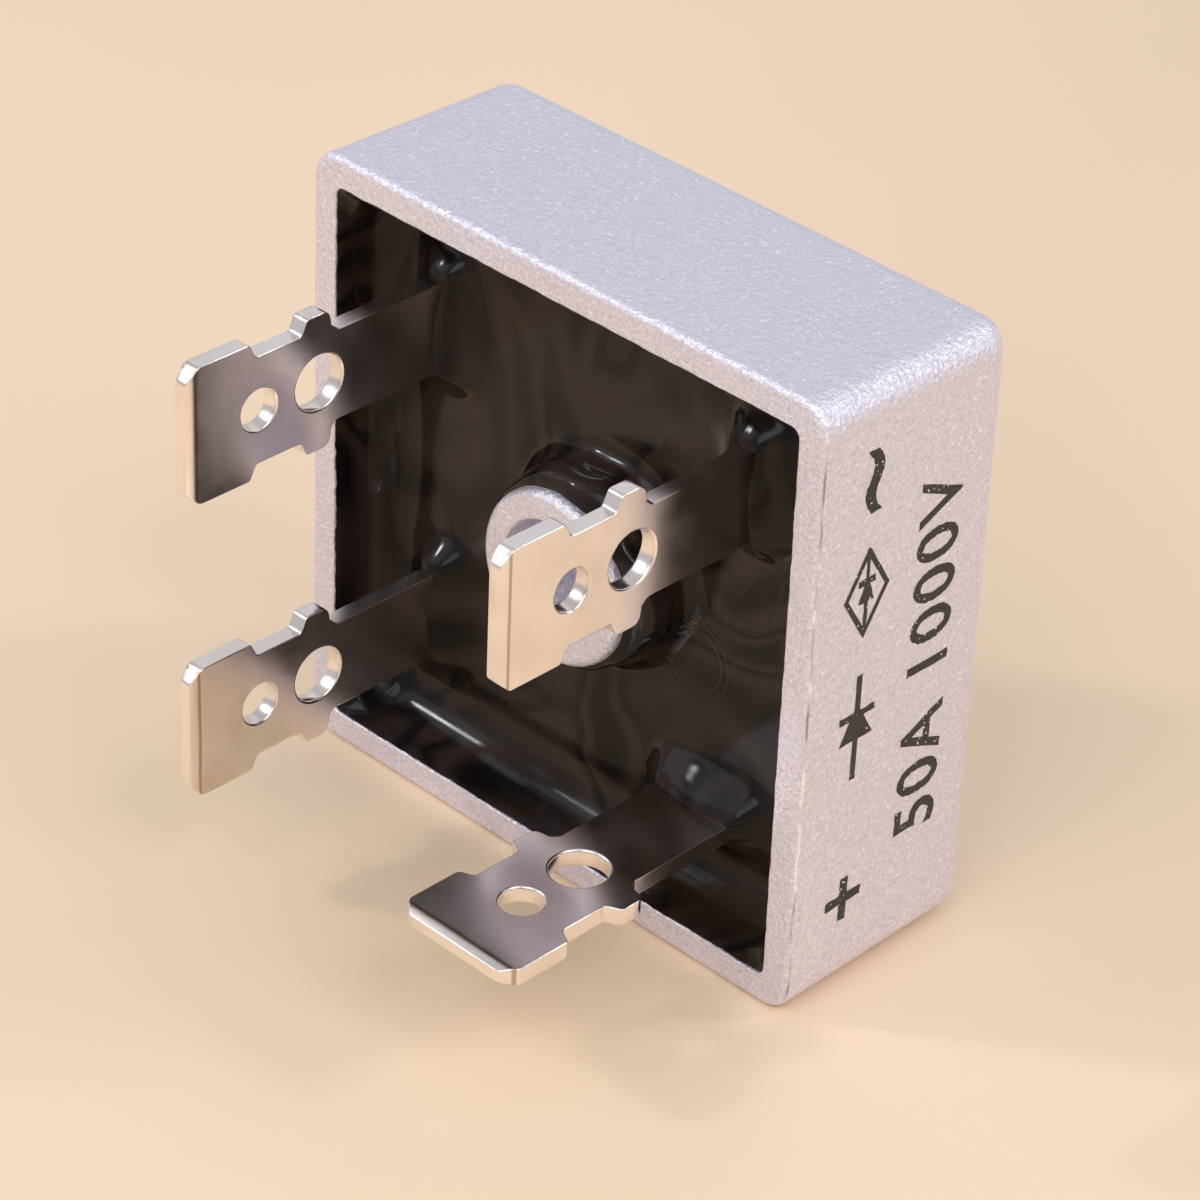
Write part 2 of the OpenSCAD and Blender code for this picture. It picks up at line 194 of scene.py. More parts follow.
def add_round(name, radius_start, radius_end, start, end, vertices):
    """Adds a cone whose axis runs between two points."""
    clear_selection()
    axis = Vector(end) - Vector(start)
    turn = Vector((0, 0, 1)).rotation_difference(axis).to_euler()
    bpy.ops.mesh.primitive_cone_add(
        vertices=vertices,
        radius1=radius_start,
        radius2=radius_end,
        depth=axis.length,
        location=(Vector(start) + Vector(end)) / 2,
        rotation=turn,
    )
    piece = name_piece(name)
    settle(piece)
    return piece


def open_mesh(piece, action="DESELECT"):
    activate(piece)
    bpy.ops.object.mode_set(mode="EDIT")
    bpy.ops.mesh.select_all(action=action)


def close_mesh():
    bpy.ops.object.mode_set(mode="OBJECT")


def select_vertices(piece, test):
    """Selects the vertices whose place passes a test, with the edges and faces between them."""
    bpy.ops.mesh.select_mode(type="VERT")
    mesh = bmesh.from_edit_mesh(piece.data)
    for v in mesh.verts:
        v.select_set(test(v.co))
    mesh.select_flush_mode()
    mesh.select_flush(True)
    bmesh.update_edit_mesh(piece.data)


def select_edges(piece, test):
    """Selects the edges that pass a test."""
    bpy.ops.mesh.select_mode(type="EDGE")
    bpy.ops.mesh.select_all(action="DESELECT")
    mesh = bmesh.from_edit_mesh(piece.data)
    for e in mesh.edges:
        e.select_set(test(e))
    bmesh.update_edit_mesh(piece.data)


def ends(edge):
    return [v.co for v in edge.verts]


def bevel_edges(piece, radius, segments, test):
    """Rounds the edges whose two ends pass a test."""
    open_mesh(piece)
    select_edges(piece, lambda edge: test(*ends(edge)))
    bpy.ops.mesh.bevel(offset=radius, segments=segments, affect="EDGES", profile=0.5)
    close_mesh()


def stack_rings(name, rings, join_ends):
    """Extrudes a ring of edges through rings of places, and joins its two open ends."""
    count = len(rings[0])
    clear_selection()
    bpy.ops.mesh.primitive_circle_add(vertices=count, radius=1, fill_type="NOTHING")
    piece = name_piece(name)
    open_mesh(piece, "SELECT")
    for number, ring in enumerate(rings):
        if number:
            bpy.ops.mesh.extrude_region_move()
        mesh = bmesh.from_edit_mesh(piece.data)
        mesh.verts.ensure_lookup_table()
        for v, place in zip(mesh.verts[number * count :], ring):
            v.co = place
        bmesh.update_edit_mesh(piece.data)
    select_edges(piece, lambda edge: edge.is_boundary)
    join_ends()
    bpy.ops.mesh.select_all(action="SELECT")
    bpy.ops.mesh.normals_make_consistent(inside=False)
    close_mesh()
    return piece


def waver(x, y, scale, seed):
    """Smooth noise at a place, between about -1 and 1."""
    return noise.noise(Vector((x * scale, y * scale, seed)))


def combine(piece, other, operation):
    """Cuts another solid out of a piece, or adds it, and removes that solid."""
    activate(piece)
    modifier = piece.modifiers.new("combine", "BOOLEAN")
    modifier.operation = operation
    modifier.solver = "EXACT"
    modifier.object = other
    bpy.ops.object.modifier_apply(modifier=modifier.name)
    bpy.data.objects.remove(other)


def round_edges(piece, width, segments, share):
    """Bevels the sharp edges, each by its share of the width."""
    mesh = bmesh.new()
    mesh.from_mesh(piece.data)
    layers = mesh.edges.layers.float
    layer = layers.get("bevel_weight_edge") or layers.new("bevel_weight_edge")
    for e in mesh.edges:
        e[layer] = 0.0
        if len(e.link_faces) == 2 and e.calc_face_angle(0) > math.radians(25):
            e[layer] = share(*ends(e))
    mesh.to_mesh(piece.data)
    mesh.free()
    activate(piece)
    modifier = piece.modifiers.new("rounded edges", "BEVEL")
    modifier.limit_method = "WEIGHT"
    modifier.width = width
    modifier.segments = segments
    modifier.use_clamp_overlap = False
    bpy.ops.object.modifier_apply(modifier=modifier.name)


def smooth(piece):
    activate(piece)
    bpy.ops.object.shade_smooth_by_angle(angle=math.radians(40))
    modifier = piece.modifiers.new("flat faces stay flat", "WEIGHTED_NORMAL")
    modifier.keep_sharp = True
    modifier.weight = 90
    bpy.ops.object.modifier_apply(modifier=modifier.name)


def finish_piece(piece, material, replaced=()):
    piece.data.materials.clear()
    piece.data.materials.append(material)
    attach(piece, "root")
    for node in replaced:
        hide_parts(node)


# ---- finishes ----


def rgba(value):
    """Four channels from a colour or from a level of grey."""
    return (*value, 1) if hasattr(value, "__len__") else (value, value, value, 1)


class Finish:
    """A material with its nodes, laid out on Object coordinates."""

    def __init__(self, name):
        self.material = bpy.data.materials.new(name)
        self.material.use_nodes = True
        self.nodes = self.material.node_tree.nodes
        self.links = self.material.node_tree.links
        self.shader = self.nodes["Principled BSDF"]
        self.place = self.nodes.new("ShaderNodeTexCoord").outputs["Object"]

    def set(self, **values):
        for socket, value in values.items():
            self.shader.inputs[socket.replace("_", " ")].default_value = value

    def add(self, kind, **inputs):
        """Adds a node and feeds its inputs with numbers or links."""
        node = self.nodes.new("ShaderNode" + kind)
        for name, value in inputs.items():
            self.feed(node.inputs[name], value)
        return node

    def feed(self, socket, value):
        if isinstance(value, bpy.types.NodeSocket):
            self.links.new(value, socket)
        else:
            socket.default_value = rgba(value) if socket.type == "RGBA" else value

    def stretch(self, scale):
        return self.add("Mapping", Vector=self.place, Scale=scale).outputs["Vector"]

    def noise(self, scale, detail=2.0, roughness=0.5, distortion=0.0, vector=None):
        node = self.add("TexNoise", Scale=scale, Detail=detail, Roughness=roughness, Distortion=distortion)
        self.feed(node.inputs["Vector"], vector or self.place)
        return node.outputs["Fac"]

    def cells(self, scale, output="Color"):
        return self.add("TexVoronoi", Vector=self.place, Scale=scale).outputs[output]

    def ramp(self, source, stops):
        node = self.add("ValToRGB", Fac=source)
        elements = node.color_ramp.elements
        elements[0].position, elements[1].position = stops[0][0], stops[-1][0]
        for position, value in stops[1:-1]:
            elements.new(position)
        for element, (position, value) in zip(elements, stops):
            element.color = rgba(value)
        node.color_ramp.interpolation = "EASE"
        return node.outputs["Color"]

    def clouds(self, low, high, *pattern):
        """A smooth change between two values, by noise of a scale, detail and roughness."""
        return self.ramp(self.noise(*pattern), [(0.3, low), (0.7, high)])

    def mix(self, factor, first, second):
        node = self.nodes.new("ShaderNodeMix")
        node.data_type = "RGBA"
        for name, value in (("Factor", factor), ("A", first), ("B", second)):
            self.feed(node.inputs[name], value)
        return node.outputs["Result"]

    def axis(self, letter):
        """One part of the object coordinate."""
        return self.add("SeparateXYZ", Vector=self.place).outputs[letter]

    def math(self, operation, first, second):
        node = self.nodes.new("ShaderNodeMath")
        node.operation = operation
        self.feed(node.inputs[0], first)
        self.feed(node.inputs[1], second)
        return node.outputs["Value"]

    def bump(self, height, strength, distance, normal=None):
        node = self.add("Bump", Height=height, Strength=strength, Distance=distance)
        if normal is not None:
            self.feed(node.inputs["Normal"], normal)
        return node.outputs["Normal"]

    def colour(self, source):
        self.feed(self.shader.inputs["Base Color"], source)

    def roughness(self, source):
        self.feed(self.shader.inputs["Roughness"], source)

    def normal(self, source):
        self.feed(self.shader.inputs["Normal"], source)


def scaled(colour, factor):
    return tuple(min(1.0, c * factor) for c in colour)


def cast_aluminium(case):
    """Sandy die-cast aluminium with painted glints as bright flecks, and a thin line of painted shade along
    the rim where the mould leaves a crease.
    """
    finish = Finish("cast_aluminium")
    finish.set(Metallic=0.7)
    colour = case.colour
    grain = finish.noise(6200, 2.0, 0.6)
    blotches = finish.noise(420, 3.0, 0.55)
    tone = finish.ramp(grain, [(0.3, scaled(colour, 0.85)), (0.7, scaled(colour, 1.06))])
    tone = finish.mix(finish.ramp(blotches, [(0.4, 0.0), (0.7, 0.3)]), tone, scaled(colour, 0.95))
    # bright flecks are painted glints: they stand for light caught by single grains of the sandy surface
    painted_glints = finish.ramp(finish.cells(7600), [(0.83, 0.0), (0.90, 1.0)])
    tone = finish.mix(painted_glints, tone, (0.93, 0.94, 0.98))
    # a thin, broken dark line of painted shade near the rim on the side walls, standing for the crease that
    # the mould leaves there
    from_middle = finish.math("ABSOLUTE", finish.axis("X"), 0)
    outside = finish.math("GREATER_THAN", from_middle, case.width / 2 - 0.25 * MM)
    wander = finish.math("MULTIPLY", finish.noise(700), 0.16 * MM)
    from_rim = finish.math("ADD", finish.math("ADD", finish.axis("Y"), case.depth), wander)
    from_rim = finish.math("DIVIDE", from_rim, MM)
    line = finish.ramp(from_rim, [(0.16, 0.0), (0.20, 1.0), (0.23, 1.0), (0.28, 0.0)])
    crease_shade = finish.math("MULTIPLY", outside, line)
    tones = [(at, scaled(colour, factor)) for at, factor in ((0.42, 0.42), (0.50, 0.75), (0.56, 0.9))]
    breaks = finish.ramp(finish.noise(330, 2.0, 0.6), tones + [(0.60, 1.0)])
    finish.colour(finish.mix(crease_shade, tone, breaks))
    finish.roughness(finish.ramp(grain, [(0.3, 0.56), (0.7, 0.38)]))
    sand = finish.bump(finish.noise(3900, 3.0, 0.65), 1.0, 0.00012)
    finish.normal(finish.bump(grain, 0.7, 0.00004, sand))
    return finish.material


def satin_nickel(colour, tip_depth):
    """Nickel plating: soft clouds, faint brown stains and a darker brown line behind the tip's bevel."""
    finish = Finish("satin_nickel")
    finish.set(Metallic=1.0)
    tone = finish.clouds(scaled(colour, 0.93), scaled(colour, 1.03), 300, 2.0, 0.45)
    stain = (colour[0] * 0.72, colour[1] * 0.62, colour[2] * 0.50)
    stains = finish.ramp(finish.noise(210, 3.0, 0.6), [(0.52, 0.0), (0.75, 0.5)])
    tone = finish.mix(stains, tone, stain)
    from_tip = finish.math("ADD", finish.axis("Y"), tip_depth)
    wander = finish.math("MULTIPLY", finish.noise(500), 0.10 * MM)
    from_tip = finish.math("DIVIDE", finish.math("ADD", from_tip, wander), MM)
    line = finish.ramp(from_tip, [(0.43, 0.0), (0.49, 0.85), (0.57, 0.85), (0.63, 0.0)])
    finish.colour(finish.mix(line, tone, scaled(stain, 0.7)))
    finish.roughness(finish.clouds(0.19, 0.26, 420, 2.0, 0.45))
    finish.normal(finish.bump(finish.noise(700, 2.0, 0.5), 0.15, 0.00002))
    return finish.material


def black_resin(colour):
    """Glossy near-black epoxy with painted reflections laid on as faint brown swirl lines, and a few set
    ripples beside the boss.
    """
    finish = Finish("black_resin")
    finish.set(IOR=1.27)
    # painted reflections: broad, lighter brown swirls that stand for the floor and nearby edges mirrored in
    # the resin
    painted_reflection_bands = [(0.32, 0.0), (0.42, 0.9), (0.46, 0.1), (0.56, 1.0), (0.72, 0.0)]
    tone = finish.mix(finish.ramp(finish.noise(58, 1.0, 0.3, 3.0), painted_reflection_bands), colour, (0.030, 0.0205, 0.0165))
    # thin brown lines, also painted reflections, that stand for arcs mirrored in the resin's surface
    painted_reflection_threads = finish.ramp(finish.noise(85, 1.0, 0.3, 2.6), [(0.462, 0.0), (0.49, 1.0), (0.518, 0.0)])
    places = finish.ramp(finish.noise(110, 1.0, 0.4), [(0.48, 0.0), (0.60, 1.0)])
    finish.colour(finish.mix(finish.math("MULTIPLY", painted_reflection_threads, places), tone, (0.026, 0.016, 0.0095)))
    finish.roughness(finish.ramp(finish.noise(900, 2.0), [(0.3, 0.11), (0.75, 0.16)]))
    middle = {"X": 5.6 * MM, "Z": -2.4 * MM}
    away = [finish.math("SUBTRACT", finish.axis(letter), place) for letter, place in middle.items()]
    squares = [finish.math("MULTIPLY", side, side) for side in away]
    distance = finish.math("SQRT", finish.math("ADD", *squares), 0)
    pitch, reach = 0.36 * MM, 4 * MM
    crests = finish.math("SINE", finish.math("MULTIPLY", distance, 2 * math.pi / pitch), 0)
    share = finish.math("MULTIPLY", distance, 1 / reach)
    near = finish.ramp(share, [(0.25, 0.0), (0.35, 1.0), (0.62, 0.0)])
    ripples = finish.bump(finish.math("MULTIPLY", crests, near), 1.0, 0.000012)
    finish.normal(finish.bump(finish.noise(420, 1.0, 0.4), 0.25, 0.00006, ripples))
    return finish.material


def printed_ink(colour, metal):
    finish = Finish("printed_ink")
    wear = finish.noise(5200, 3.0, 0.65)
    specks = finish.ramp(finish.cells(4300, "Distance"), [(0.14, 1.0), (0.24, 0.0)])
    patches = finish.ramp(finish.noise(1500, 2.0, 0.5), [(0.46, 0.0), (0.58, 1.0)])
    worn = finish.math("MULTIPLY", specks, patches)
    finish.colour(finish.mix(worn, colour, metal))
    finish.roughness(finish.ramp(wear, [(0.3, 0.62), (0.7, 0.5)]))
    finish.normal(finish.bump(wear, 0.3, 0.00003))
    return finish.material


def rolled_copper():
    finish = Finish("rolled_copper")
    finish.set(Metallic=1.0)
    finish.colour(finish.clouds((0.62, 0.30, 0.17), (0.80, 0.43, 0.27), 350, 3.0))
    finish.roughness(finish.clouds(0.3, 0.45, 1400, 3.0))
    grain = finish.noise(1800, 2.0, vector=finish.stretch((0.1, 1.0, 1.0)))
    finish.normal(finish.bump(grain, 0.15, 0.00002))
    return finish.material


def reflowed_solder():
    finish = Finish("reflowed_solder")
    finish.set(Metallic=1.0)
    finish.colour(finish.clouds((0.52, 0.53, 0.55), (0.68, 0.69, 0.71), 600))
    finish.roughness(finish.clouds(0.28, 0.5, 900))
    finish.normal(finish.bump(finish.noise(1500, 2.0), 0.2, 0.00004))
    return finish.material


def passivated_silicon():
    finish = Finish("passivated_silicon")
    finish.colour(finish.clouds((0.05, 0.055, 0.07), (0.09, 0.10, 0.12), 500))
    finish.roughness(finish.clouds(0.18, 0.3, 1200))
    return finish.material


def white_alumina():
    finish = Finish("white_alumina")
    finish.colour(finish.clouds((0.76, 0.75, 0.70), (0.86, 0.85, 0.80), 700, 3.0))
    finish.roughness(finish.clouds(0.55, 0.7, 1500))
    finish.normal(finish.bump(finish.noise(4000, 2.0), 0.2, 0.00003))
    return finish.material


# ---- case ----

CAVITY_CORNER = 0.4 * MM
EDGE_ROUNDING = 0.4 * MM
# Shares of that rounding, for the edges of the screw hole and the boss and for the two edges of the rim.
HOLE_EDGE = 0.3
BOSS_EDGE = 1.0
OUTER_RIM = 0.8
INNER_RIM = 0.22


def outer_half(case, depth):
    return case.width / 2 - case.flare * (1 - depth / case.depth)


def boss_radius_at(case, depth):
    share = (case.depth - depth) / (case.depth - case.base / 2)
    return case.boss_radius + case.boss_flare * share


def tapered_block(name, start_depth, start_half, end_depth, end_half):
    """Adds a square block along the depth, with its own half width at each end."""
    block = add_block(name, (-start_half, -end_depth, -start_half), (start_half, -start_depth, start_half))
    open_mesh(block)
    select_vertices(block, lambda p: p.y < -(start_depth + end_depth) / 2)
    grow = end_half / start_half
    bpy.ops.transform.resize(value=(grow, 1, grow), center_override=(0, -end_depth, 0))
    close_mesh()
    return block


def runs_along_depth(a, b):
    return abs(a.y - b.y) > 2 * MM


class RECTIFIER_OT_case(bpy.types.Operator):
    """Casts the square case with its rounded edges, cavity, screw boss and hole"""

    bl_idname = "rectifier.case"
    bl_label = "Case"

    def execute(self, context):
        case = context.scene.rectifier_case
        base_half, rim_half = outer_half(case, 0), outer_half(case, case.depth)
        body = tapered_block("case_casting", 0, base_half, case.depth, rim_half)
        bevel_edges(body, case.corner_radius, 8, runs_along_depth)
        bevel_edges(body, case.base_edge_radius, 8, lambda a, b: min(a.y, b.y) > -TOUCH)

        over = case.depth + 1 * MM
        foot_half, mouth_half = (outer_half(case, depth) - case.wall for depth in (case.base, over))
        cavity = tapered_block("cavity", case.base, foot_half, over, mouth_half)
        bevel_edges(cavity, CAVITY_CORNER, 4, runs_along_depth)
        combine(body, cavity, "DIFFERENCE")
        foot, top = (0, -case.base / 2, 0), (0, -case.depth, 0)
        boss = add_round("boss", boss_radius_at(case, case.base / 2), case.boss_radius, foot, top, 96)
        combine(body, boss, "UNION")
        self.wander_rim(body, case)
        bore = add_round("bore", case.hole_radius, case.hole_radius, (0, 1 * MM, 0), (0, -over, 0), 96)
        combine(body, bore, "DIFFERENCE")

        round_edges(body, EDGE_ROUNDING, 4, lambda a, b: self.edge_share(case, a, b))
        smooth(body)
        finish_piece(body, cast_aluminium(case), ["case"])
        return {"FINISHED"}

    def edge_share(self, case, a, b):
        """Share of the rounding that an edge of the casting gets."""
        reach = max(math.hypot(p.x, p.z) for p in (a, b))
        if reach < case.hole_radius + NEAR and abs(a.y - b.y) < TOUCH:
            return HOLE_EDGE
        if max(a.y, b.y) >= -case.depth + NEAR:
            return 0.0
        if reach < case.boss_radius + NEAR:
            return BOSS_EDGE
        side = max(abs(c) for p in (a, b) for c in (p.x, p.z))
        return OUTER_RIM if side > case.width / 2 - 0.3 * case.wall else INNER_RIM

    def wander_rim(self, body, case):
        """Makes the inner edge of the rim wander a little, as a die-cast edge does."""
        inner = case.width / 2 - case.wall

        def on_edge(p):
            return p.y < -case.depth + TOUCH and abs(max(abs(p.x), abs(p.z)) - inner) < NEAR

        open_mesh(body)
        select_edges(body, lambda edge: all(map(on_edge, ends(edge))) and edge.calc_length() > 2 * MM)
        bpy.ops.mesh.subdivide(number_cuts=160)
        mesh = bmesh.from_edit_mesh(body.data)
        for v in mesh.verts:
            x, z = v.co.x, v.co.z
            if on_edge(v.co) and min(abs(x), abs(z)) < inner - 0.5 * MM:
                shift = (waver(x, z, 900, 4.0) * 0.04 + waver(x, z, 3300, 2.0) * 0.022) * MM
                if abs(x) > abs(z):
                    v.co.x += shift
                else:
                    v.co.z += shift
        bmesh.update_edit_mesh(body.data)
        close_mesh()


# ---- blade terminals ----

# Places along a strip, measured from its tip, and the sizes of its punched and folded details.
LEAD_IN = 0.45 * MM
LEAD_IN_DEPTH = 0.13 * MM
CORNER_CUT = 0.62 * MM
SLANT = 0.32 * MM
NOTCH_START = 3.3 * MM
NOTCH_END = 6.0 * MM
LUG_END = 7.3 * MM + SLANT
LUG_RADIUS = 0.45 * MM
DETENT_HOLE = (3.78 * MM, 0.925 * MM)
WIRE_HOLE = (7.0 * MM, 1.25 * MM)
PUNCHED_RADIUS = 0.13 * MM
BEND_RADIUS = 0.6 * MM
FOOT_REACH = 2.6 * MM
# The widest edge rounding in edge radii, and its shares at the fold, round the holes and along the strip.
WIDEST_EDGE = 2.2
FOLD_EDGE = 0.5
PUNCHED_HOLE = 1.0
STRIP_EDGE = 0.45


def stem_place(blade, node):
    """Middle of a terminal's stem in X and Z, and its turn in degrees: only the plus blade lies flat."""
    low, high = TERMINAL_PLACES[node]
    if node == "terminal_plus":
        return (low.x + high.x) / 2, low.z + blade.thickness / 2, 0
    if node == "terminal_ac_2":
        return high.x - blade.thickness / 2, (low.z + high.z) / 2, -90
    return low.x + blade.thickness / 2, (low.z + high.z) / 2, 90


class RECTIFIER_OT_terminals(bpy.types.Operator):
    """Punches and folds one strip for each pair of terminals and sets the four in the case"""

    bl_idname = "rectifier.terminals"
    bl_label = "Blade terminals"

    def execute(self, context):
        blade = context.scene.rectifier_terminal
        plating = satin_nickel(blade.colour, -CAD_LOW[1])
        for pair in (TERMINALS[:2], TERMINALS[2:]):
            low, high = TERMINAL_PLACES[pair[0]]
            strip = self.punch(blade, -low.y, -high.y)
            for node in pair:
                x, z, turn = stem_place(blade, node)
                piece = copy_piece(strip, node + "_strip")
                turned = Matrix.Rotation(math.radians(turn), 4, "Y")
                piece.matrix_world = Matrix.Translation((x, 0, z)) @ turned
                settle(piece)
                smooth(piece)
                finish_piece(piece, plating, [node])
            bpy.data.objects.remove(strip)
        return {"FINISHED"}

    def punch(self, blade, tip, foot):
        """Makes one strip: its tip points along -Y, its width runs along X and its foot points along +Z."""
        bend = foot + blade.thickness + BEND_RADIUS
        strip = self.draw_strip(blade, tip, bend)
        self.round_corners(strip, blade, tip)
        for place, radius in (DETENT_HOLE, WIRE_HOLE):
            start, end = ((0, -tip + place, z) for z in (-1 * MM, 1 * MM))
            combine(strip, add_round("punch", radius, radius, start, end, 56), "DIFFERENCE")

        def share(a, b):
            if min(a.y, b.y) > -bend - TOUCH:
                return FOLD_EDGE
            for place, radius in (DETENT_HOLE, WIRE_HOLE):
                if all(math.hypot(p.x, p.y + tip - place) < radius + NEAR for p in (a, b)):
                    return PUNCHED_HOLE
            return STRIP_EDGE

        round_edges(strip, WIDEST_EDGE * blade.edge_radius, 3, share)
        return strip

    def stations(self, blade, tip, bend):
        """Places along the strip, from its lead-in to its bend, with the strip's half width there."""
        half, neck, stem = blade.blade_width / 2, blade.neck_width / 2, blade.stem_width / 2
        rows = [
            (LEAD_IN, half - (CORNER_CUT - LEAD_IN)),
            (CORNER_CUT, half),
            (NOTCH_START, half),
            (NOTCH_START + SLANT, neck),
            (NOTCH_END, neck),
            (NOTCH_END + SLANT, half),
        ]
        for step in range(6):
            a = math.radians(18 * step)
            rows.append((LUG_END - LUG_RADIUS * (1 - math.sin(a)), half - LUG_RADIUS * (1 - math.cos(a))))
        return rows + [(LUG_END, stem + SLANT), (LUG_END + SLANT, stem), (tip - bend, stem)]

    def draw_strip(self, blade, tip, bend):
        """Draws the strip out of a small block at its tip, and folds its foot."""
        thin = blade.thickness / 2
        width, thick = blade.blade_width / 2 - CORNER_CUT, thin - LEAD_IN_DEPTH
        strip = add_block("strip", (-width, -tip, -thick), (width, -tip + LEAD_IN, thick))
        open_mesh(strip)
        select_vertices(strip, lambda p: p.y > -tip + LEAD_IN - TOUCH)
        reached = LEAD_IN
        for number, (place, half_width) in enumerate(self.stations(blade, tip, bend)):
            if number:
                bpy.ops.mesh.extrude_region_move(TRANSFORM_OT_translate={"value": (0, place - reached, 0)})
            grow = (half_width / width, 1, thin / thick)
            bpy.ops.transform.resize(value=grow, center_override=(0, -tip + place, 0))
            reached, width, thick = place, half_width, thin
        middle = (0, -bend, thin + BEND_RADIUS)
        bpy.ops.mesh.spin(steps=8, angle=math.radians(90), center=middle, axis=(-1, 0, 0))
        bpy.ops.mesh.extrude_region_move(TRANSFORM_OT_translate={"value": (0, 0, FOOT_REACH)})
        bpy.ops.mesh.select_all(action="SELECT")
        bpy.ops.mesh.remove_doubles(threshold=1e-7)
        bpy.ops.mesh.normals_make_consistent(inside=False)
        close_mesh()
        return strip

    def round_corners(self, strip, blade, tip):
        """Rounds the punched corners. The outer corners of the lugs are drawn round already."""
        corners = [0, CORNER_CUT, LUG_END, LUG_END + SLANT]
        for notch_side in (NOTCH_START, NOTCH_END):
            corners += [notch_side, notch_side + SLANT]

        def is_corner(a, b):
            place = a.y + tip
            across = abs(a.y - b.y) < TOUCH and abs(a.x - b.x) < TOUCH and abs(a.z - b.z) > 0.3 * MM
            outer_lug = abs(place - LUG_END) < TOUCH and abs(a.x) > blade.stem_width / 2 + 1.2 * SLANT
            return across and not outer_lug and any(abs(place - c) < TOUCH for c in corners)

        bevel_edges(strip, PUNCHED_RADIUS, 4, is_corner)
        open_mesh(strip, "SELECT")
        bpy.ops.mesh.dissolve_limited(angle_limit=math.radians(0.5))
        close_mesh()


# ---- potting resin ----

CLEARANCE = 0.02 * MM  # from the casting, before a film or an overlap is counted
BOSS_OVERLAP = 0.06 * MM
WALL_OVERLAP = 0.05 * MM
BOSS_FILM_DROP = 0.48 * MM  # from the rim to the upper edge of the boss's film
BOSS_FILM_SHARE = 0.62  # share of the climb up the boss that is film, with a meniscus below it
LIP = 0.04 * MM  # step at the edge of a film, and reach of a collar's lip into its stem
FLOOR_CORNER = 0.35 * MM
CREST_CORNER = 0.45 * MM


def rounded_square_reach(half, radius, angle):
    """Distance from the middle of a rounded square to its outline, at an angle."""
    c, s = abs(math.cos(angle)), abs(math.sin(angle))
    straight = half / max(c, s)
    centre = half - radius
    if straight * min(c, s) <= centre:
        return straight
    along = centre * (c + s)
    return along + math.sqrt(max(0.0, along**2 - 2 * centre**2 + radius**2))


def stem_rectangle(blade, node):
    """Middle and half sizes, in X and Z, of a stem where it leaves the resin."""
    x, z, turn = stem_place(blade, node)
    wide, thin = blade.stem_width / 2, blade.thickness / 2
    return (x, z, thin, wide) if turn else (x, z, wide, thin)


